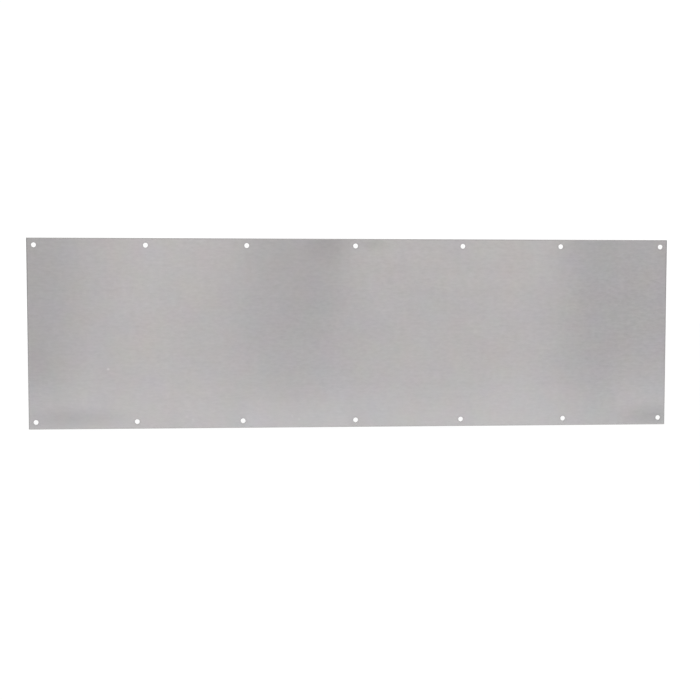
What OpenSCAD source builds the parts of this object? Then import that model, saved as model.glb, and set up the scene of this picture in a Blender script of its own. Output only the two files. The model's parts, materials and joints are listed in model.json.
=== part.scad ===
// Kick plate: one flat metal sheet that guards the foot of a door.
// Its front edges are bevelled, and a row of screw holes runs along its top and its bottom.
// The plate stands upright. X runs along its width and Z is up. Its back lies on the door at Y = 0,
// its front faces -Y, and the origin is the centre of its back.

/* [Sheet] */
// Width of the plate, along the foot of the door
plate_w = 863.6; // [300:0.1:1200]
// Height of the plate
plate_h = 254; // [100:0.1:900]
// Thickness of the sheet
sheet_t = 1.27; // [0.8:0.01:3.2]
// Radius that eases the four outside corners
corner_r = 0.5; // [0.2:0.1:6]

/* [Bevelled edges] */
// Width of the bevel round the front
bevel_w = 1.2; // [0.4:0.1:3]
// Square edge left between the bevel and the back
edge_land = 0.6; // [0.2:0.01:0.7]

/* [Screw holes] */
// Diameter of each hole
hole_d = 6.35; // [4:0.05:8]
// Width of the edge break round each hole's front rim
rim_break = 0.2; // [0.1:0.05:0.4]
// Distance from the plate's edges to the centres of the corner holes
hole_margin = 9.525; // [7:0.025:20]
// How far each hole of the top row, from left to right, stands from its even place
top_drift = [0, 5, -2, 3, 8, 2, 0]; // [-10:1:10]
// The same for the bottom row
bottom_drift = [0, -8, -8, 3, 6, 7, 0]; // [-10:1:10]

/* [Hidden] */
$fn = 96;
// Width and height between the centres of the corner holes
row_w = plate_w - 2 * hole_margin;
row_h = plate_h - 2 * hole_margin;
// How far a cutting tool runs past the face that it cuts
overrun = 1;

// The places along X of a row of holes: an even pitch, and each hole's own drift from it
function hole_places(drift) =
    let (pitch = row_w / (len(drift) - 1))
    [for (i = [0 : len(drift) - 1]) i * pitch - row_w / 2 + drift[i]];

// Cross-section of a bevelled sheet of the given breadth, with its back on the first axis
module bevelled_section(breadth) {
    half = breadth / 2;
    polygon([
        [-half, 0],
        [half, 0],
        [half, -edge_land],
        [half - bevel_w, -sheet_t],
        [-half + bevel_w, -sheet_t],
        [-half, -edge_land]
    ]);
}

// Outline of the sheet, seen from the front, with its corners eased
module outline() {
    square([plate_w, plate_h - 2 * corner_r], center = true);
    square([plate_w - 2 * corner_r, plate_h], center = true);
    for (x = [-1, 1], z = [-1, 1])
        translate([x * (plate_w / 2 - corner_r), z * (plate_h / 2 - corner_r)])
            circle(corner_r);
}

// The sheet before it is punched: the upright and the level bevels meet in a mitre at each corner
module blank() {
    intersection() {
        rotate([90, 0, 0]) linear_extrude(sheet_t) outline();
        linear_extrude(plate_h, center = true) bevelled_section(plate_w);
        rotate([0, 90, 0]) linear_extrude(plate_w, center = true) bevelled_section(plate_h);
    }
}

// What one screw hole takes away: a round hole, and an edge break at 45 degrees round its front rim
module screw_hole() {
    rotate([90, 0, 0]) {
        translate([0, 0, -overrun]) cylinder(h = sheet_t + 2 * overrun, d = hole_d);
        translate([0, 0, sheet_t - rim_break])
            cylinder(h = rim_break + overrun, d1 = hole_d, d2 = hole_d + 2 * (rim_break + overrun));
    }
}

module plate() {
    color([0.70, 0.69, 0.69])
        difference() {
            blank();
            for (x = hole_places(top_drift)) translate([x, 0, row_h / 2]) screw_hole();
            for (x = hole_places(bottom_drift)) translate([x, 0, -row_h / 2]) screw_hole();
        }
}

plate();
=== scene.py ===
"""Looks of the kick plate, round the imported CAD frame: one finely meshed sheet of satin stainless steel."""
import json
import math

import bpy
from mathutils import Matrix, Vector
from mathutils.geometry import delaunay_2d_cdt


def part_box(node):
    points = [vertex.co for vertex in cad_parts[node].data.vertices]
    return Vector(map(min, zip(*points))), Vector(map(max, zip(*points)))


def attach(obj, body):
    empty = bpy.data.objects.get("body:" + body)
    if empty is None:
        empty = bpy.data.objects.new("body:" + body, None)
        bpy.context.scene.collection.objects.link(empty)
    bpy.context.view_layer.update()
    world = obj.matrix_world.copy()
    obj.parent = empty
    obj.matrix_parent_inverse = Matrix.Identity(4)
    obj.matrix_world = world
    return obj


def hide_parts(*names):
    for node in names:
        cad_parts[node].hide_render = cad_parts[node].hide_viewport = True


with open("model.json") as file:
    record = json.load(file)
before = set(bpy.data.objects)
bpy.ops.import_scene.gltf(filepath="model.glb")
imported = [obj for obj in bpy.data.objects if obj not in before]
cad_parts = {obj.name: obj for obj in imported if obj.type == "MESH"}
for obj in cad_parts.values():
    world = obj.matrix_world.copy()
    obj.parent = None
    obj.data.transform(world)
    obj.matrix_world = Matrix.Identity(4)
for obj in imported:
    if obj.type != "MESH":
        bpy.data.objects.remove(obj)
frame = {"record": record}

scene = bpy.context.scene
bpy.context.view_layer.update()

# ------------------------------------------------------------ sizes, in metres, in the row frame
low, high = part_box("plate")
HALF_W, HALF_H = high.x, high.z
FRONT_Y, BACK_Y = low.y, high.y
BOLT_PATTERNS = [m for m in frame["record"]["mounts"] if m["kind"] == "bolt_pattern"]
MM = 1000                 # millimetres in a metre
HOLE_R = BOLT_PATTERNS[0]["dims"]["hole_r_mm"] / MM

BEVEL_W = 0.0012          # width of the bevel round the front
EDGE_LAND = 0.0006        # square edge between the bevel and the back
RIM_BREAK = 0.0002        # edge break round each hole's front rim
CORNER_R = 0.0005         # the four outside corners
MITRE_R = 0.0002          # the bevel's own corners, where two slopes meet
BEVEL_TOP_R = 0.0006      # how softly the bevel runs into the front
BURR_R = 0.0001           # every other edge

GRID_W, GRID_H = 68, 20   # how many parts the flats are divided into, along the width and the height
ARC_STEPS = 5             # segments in each small rounding
HOLE_STEPS = 64           # segments round each hole
INSIDE_ONLY = 1           # the triangulation leaves out what lies outside the outline
MERGE_MM = 1e-6           # points nearer than this are one point

FRONT, BEVEL, WALL, BACK = range(4)


# ------------------------------------------------------------ outlines
def hole_centres():
    """(x, z) of every screw hole, from the record's bolt patterns, some of which are one row or column."""
    found = []
    for pattern in BOLT_PATTERNS:
        x, _, z = pattern["pos_m"]
        half_x = pattern["dims"].get("spacing_x_mm", 0) / (2 * MM)
        half_z = pattern["dims"].get("spacing_y_mm", 0) / (2 * MM)
        found += [(x + dx, z + dz) for dx in {-half_x, half_x} for dz in {-half_z, half_z}]
    return [Vector(spot) for spot in sorted(found)]


def circle(centre, radius):
    turns = [2 * math.pi * step / HOLE_STEPS for step in range(HOLE_STEPS)]
    return [centre + radius * Vector((math.cos(turn), math.sin(turn))) for turn in turns]


def sheet_outline(inset, radius):
    """The sheet's outline, inset from its edges, with rounded corners, anticlockwise seen from the front."""
    arcs = []
    for quarter, (side, up) in enumerate([(1, 1), (-1, 1), (-1, -1), (1, -1)]):
        centre = Vector((side * (HALF_W - inset - radius), up * (HALF_H - inset - radius)))
        turns = [(quarter + step / ARC_STEPS) * math.pi / 2 for step in range(ARC_STEPS + 1)]
        arcs.append([centre + radius * Vector((math.cos(turn), math.sin(turn))) for turn in turns])
    points = []
    for quarter, arc in enumerate(arcs):
        run = arcs[(quarter + 1) % 4][0] - arc[-1]
        count = GRID_H if quarter % 2 else GRID_W
        points += arc + [arc[-1] + run * step / count for step in range(1, count)]
    return points


def rounded(corners):
    """(u, v) points of a line that turns each corner (u, v, radius) in an arc. The end ones only aim it."""
    line = []
    for before, corner, after in zip(corners, corners[1:], corners[2:]):
        here, radius = Vector(corner[:2]), corner[2]
        back = (Vector(before[:2]) - here).normalized()
        onward = (Vector(after[:2]) - here).normalized()
        half = back.angle(onward) / 2
        centre = here + (back + onward).normalized() * (radius / math.sin(half))
        start = here + back * (radius / math.tan(half)) - centre
        end = here + onward * (radius / math.tan(half)) - centre
        turns = [-start.angle_signed(end) * step / ARC_STEPS for step in range(ARC_STEPS + 1)]
        line += [centre + Matrix.Rotation(turn, 2) @ start for turn in turns]
    return line


# ------------------------------------------------------------ the sheet's mesh
class SheetMesh:
    """Gathers the sheet's points, and its faces with the number of each one's material."""

    def __init__(self):
        self.points, self.faces, self.kinds = [], [], []

    def add_face(self, face, kind):
        self.faces.append(face)
        self.kinds.append(kind)

    def ring(self, outline, y):
        """Adds the outline's (x, z) points at depth y, and returns their numbers."""
        first = len(self.points)
        self.points += [(spot.x, y, spot.y) for spot in outline]
        return list(range(first, len(self.points)))

    def wall(self, front_ring, back_ring, kind, faces_out):
        """Four-sided faces between two rings. They look out of the outline, or into it."""
        for i in range(len(front_ring)):
            j = (i + 1) % len(front_ring)
            face = (front_ring[i], front_ring[j], back_ring[j], back_ring[i])
            self.add_face(face[::-1] if faces_out else face, kind)

    def flat(self, outer, holes, centres, hole_r, kind):
        """Triangles between an outer ring and its hole rings, over an even grid of points.

        They are worked out in millimetres, for precision.
        """
        rings = [outer] + holes
        numbers = [n for ring in rings for n in ring]
        y = self.points[outer[0]][1]
        step_x, step_z = 2 * HALF_W / GRID_W, 2 * HALF_H / GRID_H
        rim_gap = step_z / 4      # no grid point lies nearer to a hole's rim
        for i in range(1, GRID_W):
            for j in range(1, GRID_H):
                spot = Vector((i * step_x - HALF_W, j * step_z - HALF_H))
                if all((spot - centre).length > hole_r + rim_gap for centre in centres):
                    numbers += self.ring([spot], y)
        edges = []
        for ring in rings:
            first = numbers.index(ring[0])
            edges += [(first + i, first + (i + 1) % len(ring)) for i in range(len(ring))]
        spots = [Vector((self.points[n][0], self.points[n][2])) * MM for n in numbers]
        made_spots, _, triangles, origins, _, _ = delaunay_2d_cdt(spots, edges, [], INSIDE_ONLY, MERGE_MM)
        for triangle in triangles:
            middle = sum((made_spots[corner] for corner in triangle), Vector((0, 0))) / 3
            if any((middle - centre * MM).length < hole_r * MM for centre in centres):
                continue
            face = [numbers[origins[corner][0]] for corner in triangle]
            self.add_face(face if kind == FRONT else face[::-1], kind)


def build_sheet(name, materials):
    """The whole sheet as one closed mesh: two flats, the bevelled edge all round, and the punched holes."""
    sheet = SheetMesh()
    edge = rounded([
        (BEVEL_W * 2, FRONT_Y, 0),
        (BEVEL_W, FRONT_Y, BEVEL_TOP_R),
        (0, BACK_Y - EDGE_LAND, BURR_R),
        (0, BACK_Y, BURR_R),
        (BEVEL_W, BACK_Y, 0),
    ])
    rings = []
    for inset, y in edge:
        radius = MITRE_R if inset > CORNER_R - MITRE_R else CORNER_R - inset
        rings.append(sheet.ring(sheet_outline(inset, radius), y))
    bevel_strips = 2 * ARC_STEPS + 1      # the arc at each end of the bevel, and the slope between them
    for i, (a, b) in enumerate(zip(rings, rings[1:])):
        sheet.wall(a, b, BEVEL if i < bevel_strips else WALL, faces_out=True)

    hole = rounded([
        (HOLE_R + RIM_BREAK * 2, FRONT_Y, 0),
        (HOLE_R + RIM_BREAK, FRONT_Y, BURR_R),
        (HOLE_R, FRONT_Y + RIM_BREAK, BURR_R),
        (HOLE_R, BACK_Y, BURR_R),
        (HOLE_R + RIM_BREAK, BACK_Y, 0),
    ])
    centres = hole_centres()
    front_rims, back_rims = [], []
    for centre in centres:
        rims = [sheet.ring(circle(centre, radius), y) for radius, y in hole]
        for a, b in zip(rims, rims[1:]):
            sheet.wall(a, b, WALL, faces_out=False)
        front_rims.append(rims[0])
        back_rims.append(rims[-1])
    sheet.flat(rings[0], front_rims, centres, hole[0].x, FRONT)
    sheet.flat(rings[-1], back_rims, centres, hole[-1].x, BACK)

    mesh = bpy.data.meshes.new(name)
    mesh.from_pydata(sheet.points, [], sheet.faces)
    for material in materials:
        mesh.materials.append(material)
    mesh.polygons.foreach_set("material_index", sheet.kinds)
    mesh.shade_smooth()
    grain = mesh.uv_layers.new(name="grain")     # its U runs up the sheet, across the brushing
    for loop in mesh.loops:
        x, _, z = mesh.vertices[loop.vertex_index].co
        grain.data[loop.index].uv = (z, -x)
    mesh.validate()
    piece = bpy.data.objects.new(name, mesh)
    scene.collection.objects.link(piece)
    flats = piece.modifiers.new("flats_stay_flat", "WEIGHTED_NORMAL")
    flats.keep_sharp = True
    return piece


# ------------------------------------------------------------ materials
class Nodes:
    """Short names for the few kinds of node that the metals use."""

    def __init__(self, material):
        material.use_nodes = True
        self.tree = material.node_tree
        self.shader = self.tree.nodes["Principled BSDF"]
        self.place = self.tree.nodes.new("ShaderNodeTexCoord").outputs["Object"]

    def new(self, kind, **settings):
        node = self.tree.nodes.new(kind)
        for setting, value in settings.items():
            setattr(node, setting, value)
        return node

    def link(self, source, target):
        if isinstance(source, bpy.types.NodeSocket):
            self.tree.links.new(source, target)
        else:
            target.default_value = source

    def maths(self, operation, a, b, c=0.0):
        node = self.new("ShaderNodeMath", operation=operation)
        for value, socket in zip((a, b, c), node.inputs):
            self.link(value, socket)
        return node.outputs[0]

    def noise(self, per_metre, detail, rough, seed):
        """Noise with so many features per metre along X, Y and Z, mostly from -1 to 1 and 0 on average."""
        scale = self.new("ShaderNodeVectorMath", operation="MULTIPLY")
        self.link(self.place, scale.inputs[0])
        scale.inputs[1].default_value = per_metre
        shift = self.new("ShaderNodeVectorMath", operation="ADD")
        self.link(scale.outputs[0], shift.inputs[0])
        shift.inputs[1].default_value = (seed, seed, seed)
        texture = self.new("ShaderNodeTexNoise", noise_dimensions="3D")
        self.link(shift.outputs[0], texture.inputs["Vector"])
        texture.inputs["Scale"].default_value = 1.0
        texture.inputs["Detail"].default_value = detail
        texture.inputs["Roughness"].default_value = rough
        return self.maths("MULTIPLY_ADD", texture.outputs["Fac"], 4.0, -2.0)

    def total(self, start, *terms):
        """start plus each (amount, field)."""
        value = start
        for amount, field in terms:
            value = self.maths("MULTIPLY_ADD", field, amount, value)
        return value

    def patch(self, x, z, half_w, half_h):
        """1 at a place on the sheet, fading softly to 0 at an ellipse round it."""
        shift = self.new("ShaderNodeVectorMath", operation="SUBTRACT")
        self.link(self.place, shift.inputs[0])
        shift.inputs[1].default_value = (x, 0, z)
        scale = self.new("ShaderNodeVectorMath", operation="MULTIPLY")
        self.link(shift.outputs[0], scale.inputs[0])
        scale.inputs[1].default_value = (1 / half_w, 0, 1 / half_h)
        distance = self.new("ShaderNodeVectorMath", operation="LENGTH")
        self.link(scale.outputs[0], distance.inputs[0])
        fade = self.new("ShaderNodeMapRange", interpolation_type="SMOOTHSTEP")
        self.link(distance.outputs["Value"], fade.inputs["Value"])
        fade.inputs["To Min"].default_value = 1.0
        fade.inputs["To Max"].default_value = 0.0
        return fade.outputs["Result"]

    def tint(self, colour, factor, warmth=None, pinkness=None):
        """Sets the base colour: colour times factor, a little warmer and pinker where those fields say."""
        channels = self.new("ShaderNodeCombineXYZ")
        if warmth is None:
            shares = (factor, factor, factor)
        else:
            shares = (
                self.total(factor, (1.0, warmth), (1.0, pinkness)),
                self.total(factor, (-2.0, pinkness)),
                self.total(factor, (-1.0, warmth), (1.0, pinkness)),
            )
        for share, socket in zip(shares, channels.inputs):
            self.link(share, socket)
        product = self.new("ShaderNodeVectorMath", operation="MULTIPLY")
        self.link(channels.outputs[0], product.inputs[0])
        product.inputs[1].default_value = colour
        self.link(product.outputs[0], self.shader.inputs["Base Color"])

    def metal(self, roughness, brushed=0.0):
        """Makes it bare metal. If brushed, its reflections spread up and down, across the brushing."""
        self.link(roughness, self.shader.inputs["Roughness"])
        self.shader.inputs["Metallic"].default_value = 1.0
        if brushed:
            self.shader.inputs["Anisotropic"].default_value = brushed
            across = self.new("ShaderNodeTangent", direction_type="UV_MAP", uv_map="grain")
            self.link(across.outputs[0], self.shader.inputs["Tangent"])


STEEL = (0.5265, 0.512, 0.522)
DARKER_PATCHES = [                   # (x, z, half width, half height, darkening) of each soft darker patch painted into the front's colour
    (-0.370, -0.1115, 0.092, 0.0185, 0.105),
    (0.413, -0.115, 0.075, 0.024, 0.140),
    (-0.033, 0.124, 0.045, 0.045, 0.095),
    (0.027, 0.120, 0.034, 0.013, 0.100),
    (-0.432, -0.038, 0.090, 0.055, 0.060),
]
SPECKS = [                    # (x, z, brightening) of each small bright spot
    (-0.327, -0.047, 0.26),
    (-0.2235, -0.1115, 0.07), (-0.2155, -0.1155, 0.09),
    (-0.0825, -0.1120, 0.07), (-0.0735, -0.1160, 0.09),
]
SPECK_R = 0.0026              # how far from its middle a speck has faded out
RIM_SHADE = 0.20              # the darkening round each hole, as it would be at the hole's middle
RIM_SHADE_R = 0.0065          # how far from there it has faded out

# How much each unevenness changes the front's tone or colour, as a share of it
SCRATCHES, DASHES, STREAKS, CLOUDS = 0.020, 0.056, 0.015, 0.028
WARMER, PINKER = 0.018, 0.009


def grain_depth(nodes):
    """How deep the grain is: patchy, deeper towards the right-hand end, and fainter along the foot."""
    patchy = nodes.noise((7, 0, 9), detail=2, rough=0.6, seed=83)
    deeper = nodes.patch(0.385, 0.03, 0.14, 0.17)
    fainter = nodes.patch(0, -HALF_H, 3.0, 0.06)
    return nodes.total(0.97, (0.20, patchy), (0.55, deeper), (-0.30, fainter))


def front_patches_and_shade(nodes, tone):
    """The tone with the soft darker patches, the specks, and the painted shade round each hole."""
    # soft darker patches, painted into the front's colour
    for x, z, half_w, half_h, darkening in DARKER_PATCHES:
        tone = nodes.total(tone, (-darkening, nodes.patch(x, z, half_w, half_h)))
    for x, z, brightening in SPECKS:
        tone = nodes.total(tone, (brightening, nodes.patch(x, z, SPECK_R, SPECK_R)))
    for x, z in hole_centres():
        tone = nodes.total(tone, (-RIM_SHADE, nodes.patch(x, z, RIM_SHADE_R, RIM_SHADE_R)))
    return tone


def satin_front():
    """The face that shows: fine straight scratches along the width, and a faint uneven polish."""
    material = bpy.data.materials.new("satin_front")
    nodes = Nodes(material)
    scratch = nodes.noise((25, 0, 2600), detail=3, rough=0.6, seed=3)
    dash = nodes.noise((110, 0, 270), detail=2, rough=0.65, seed=11)
    streak = nodes.noise((2.5, 0, 110), detail=3, rough=0.6, seed=17)
    cloud = nodes.noise((15, 0, 20), detail=2.5, rough=0.7, seed=29)
    warm = nodes.noise((17, 0, 17), detail=2, rough=0.7, seed=61)
    pink = nodes.noise((22, 0, 22), detail=2, rough=0.7, seed=71)
    marks = nodes.total(0.0, (SCRATCHES, scratch), (DASHES, dash))
    grain = nodes.maths("MULTIPLY", marks, grain_depth(nodes))
    tone = nodes.total(1.0, (1.0, grain), (STREAKS, streak), (CLOUDS, cloud))
    warmth = nodes.maths("MULTIPLY", warm, WARMER)
    pinkness = nodes.maths("MULTIPLY", pink, PINKER)
    nodes.tint(STEEL, front_patches_and_shade(nodes, tone), warmth, pinkness)
    nodes.metal(nodes.total(0.32, (0.010, streak), (0.010, cloud), (0.008, dash)), brushed=1.0)
    return material


def ground_edge(name, colour, roughness):
    """Cut metal: the bevel, the square edge and the holes."""
    material = bpy.data.materials.new(name)
    nodes = Nodes(material)
    marks = nodes.noise((900, 900, 900), detail=2, rough=0.6, seed=5)
    nodes.tint(colour, nodes.total(1.0, (0.03, marks)))
    nodes.metal(nodes.total(roughness, (0.03, marks)))
    return material


def mill_back():
    """The back: as rolled, duller, with long rolling marks, a faint mottle and fine pits, and no grain."""
    material = bpy.data.materials.new("mill_back")
    nodes = Nodes(material)
    rolled = nodes.noise((2, 0, 120), detail=2, rough=0.5, seed=41)
    mottle = nodes.noise((60, 0, 60), detail=3, rough=0.6, seed=53)
    pitted = nodes.noise((400, 0, 600), detail=2, rough=0.6, seed=47)
    nodes.tint((0.47, 0.47, 0.475), nodes.total(1.0, (0.045, rolled), (0.035, mottle), (0.030, pitted)))
    nodes.metal(nodes.total(0.42, (0.03, rolled), (0.03, mottle)), brushed=0.3)
    return material


plate = build_sheet("kick_plate_sheet", [
    satin_front(),
    ground_edge("ground_bevel", colour=(0.445, 0.435, 0.435), roughness=0.35),
    ground_edge("sheared_wall", colour=(0.60, 0.59, 0.59), roughness=0.40),
    mill_back(),
])
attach(plate, "root")
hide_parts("plate")


# ------------------------------------------------------------ floor, light and camera
FLOOR_Z = -0.60
FLOOR_SIDE = 60.0
CAMERA_LENS = 53.07           # focal length, in millimetres
CAMERA_FILM = 36.0            # film width, in millimetres
CAMERA_PLACE = Vector((-0.101, -1.39, 0.045))
CAMERA_AIM = Vector((-0.0045, 0, -0.0226))
FAR_Y = -1.39                 # the plane of the softboxes beside the camera
NEAR_Y = -0.12                # and of those just before the plate
WARM = (1.04, 0.985, 0.90)    # the light of the high and low panels
COOL = (0.96, 1.0, 1.0)       # the light of the panels at the foot


def pale_floor(glow):
    """A white floor that mostly glows by itself, so that it is as white far off as near the plate."""
    mesh = bpy.data.meshes.new("floor")
    half = FLOOR_SIDE / 2
    corners = [(-half, -half), (half, -half), (half, half), (-half, half)]
    mesh.from_pydata([(x, y, FLOOR_Z) for x, y in corners], [], [(0, 1, 2, 3)])
    floor = bpy.data.objects.new("floor", mesh)
    scene.collection.objects.link(floor)
    material = bpy.data.materials.new("pale_floor")
    material.use_nodes = True
    shader = material.node_tree.nodes["Principled BSDF"]
    shader.inputs["Base Color"].default_value = (0.2, 0.2, 0.2, 1)
    shader.inputs["Roughness"].default_value = 0.9
    shader.inputs["Specular IOR Level"].default_value = 0.0
    shader.inputs["Emission Color"].default_value = (1, 1, 1, 1)
    shader.inputs["Emission Strength"].default_value = glow
    mesh.materials.append(material)


def softbox(name, place, aim, width, height, radiance, colour=(1, 1, 1)):
    """A soft area light at place, turned to aim. It is not seen by the camera itself."""
    data = bpy.data.lights.new(name, "AREA")
    data.color = colour
    data.shape = "RECTANGLE"
    data.size, data.size_y = width, height
    data.energy = radiance * math.pi * width * height
    lamp = bpy.data.objects.new(name, data)
    scene.collection.objects.link(lamp)
    lamp.location = place
    lamp.rotation_euler = (Vector(aim) - Vector(place)).to_track_quat("-Z", "Y").to_euler()
    lamp.visible_camera = False


def bank(name, panels, y, z, height, aim_z=None, colour=(1, 1, 1)):
    """A row of softboxes in one upright plane at y, each given as (x from, x to, radiance)."""
    for number, (left, right, radiance) in enumerate(panels):
        middle = (left + right) / 2
        aim = (middle, 0, z if aim_z is None else aim_z)
        softbox(f"{name}_{number}", (middle, y, z), aim, right - left, height, radiance, colour)


def studio_world(room, ground):
    """An even room, which lights the plate, and a white ground, which only the camera sees."""
    world = bpy.data.worlds.new("studio")
    world.use_nodes = True
    scene.world = world
    tree = world.node_tree
    background = tree.nodes["Background"]
    mix = tree.nodes.new("ShaderNodeMix")
    seen = tree.nodes.new("ShaderNodeLightPath")
    tree.links.new(seen.outputs["Is Camera Ray"], mix.inputs["Factor"])
    mix.inputs["A"].default_value = room
    mix.inputs["B"].default_value = ground
    tree.links.new(mix.outputs["Result"], background.inputs["Strength"])
    background.inputs["Color"].default_value = (1, 1, 1, 1)


pale_floor(glow=0.94)
studio_world(room=0.35, ground=1.05)
softbox("overhead", (0, -1.0, 1.6), (0, 0, 0.1), width=3.0, height=0.9, radiance=0.80)
bank("high", [
    (-1.20, -0.74, 0.48), (-0.74, -0.54, 0.32), (-0.54, -0.36, 0.93), (-0.36, -0.165, 0.88),
    (-0.165, 0.09, 0.33), (0.09, 0.16, 1.04), (0.16, 0.25, 0.92), (0.25, 0.38, 0.76), (0.38, 0.60, 0.82),
    (0.60, 0.71, 1.23), (0.71, 0.86, 0.05), (0.86, 0.93, 0.26), (0.93, 1.20, 0.50),
], y=FAR_Y, z=1.0, height=0.8, colour=WARM)
bank("low", [
    (-0.64, -0.40, 0.42), (-0.40, -0.20, 0.23), (0.09, 0.38, 0.21), (0.38, 0.60, 0.24), (0.60, 0.71, 0.29),
], y=FAR_Y, z=0.25, height=0.7, colour=WARM)
bank("foot", [
    (-0.55, -0.24, 0.42), (-0.24, -0.15, 0.53), (-0.15, 0.0, 0.82), (0.0, 0.2, 0.53), (0.2, 0.55, 0.60),
], y=NEAR_Y, z=-0.14, height=0.04, aim_z=-0.10, colour=COOL)
bank("corner", [
    (-0.56, -0.36, 0.15), (0.40, 0.56, 0.18),
], y=NEAR_Y, z=-0.095, height=0.04)
bank("brow", [
    (-0.25, -0.06, 0.10), (0.0, 0.07, 0.13), (0.07, 0.20, 0.06), (0.20, 0.28, 0.02), (0.28, 0.40, 0.12),
    (0.40, 0.56, 0.20),
], y=NEAR_Y, z=0.15, height=0.04, aim_z=0.11)
bank("behind", [(-1.1, -0.3, 0.7), (0.3, 1.2, 1.1)], y=1.5, z=0.15, height=1.2)

camera_data = bpy.data.cameras.new("camera")
camera_data.lens = CAMERA_LENS
camera_data.sensor_width = CAMERA_FILM
camera = bpy.data.objects.new("camera", camera_data)
scene.collection.objects.link(camera)
camera.location = CAMERA_PLACE
camera.rotation_euler = (CAMERA_AIM - CAMERA_PLACE).to_track_quat("-Z", "Y").to_euler()
scene.camera = camera
scene.view_settings.view_transform = "Standard"
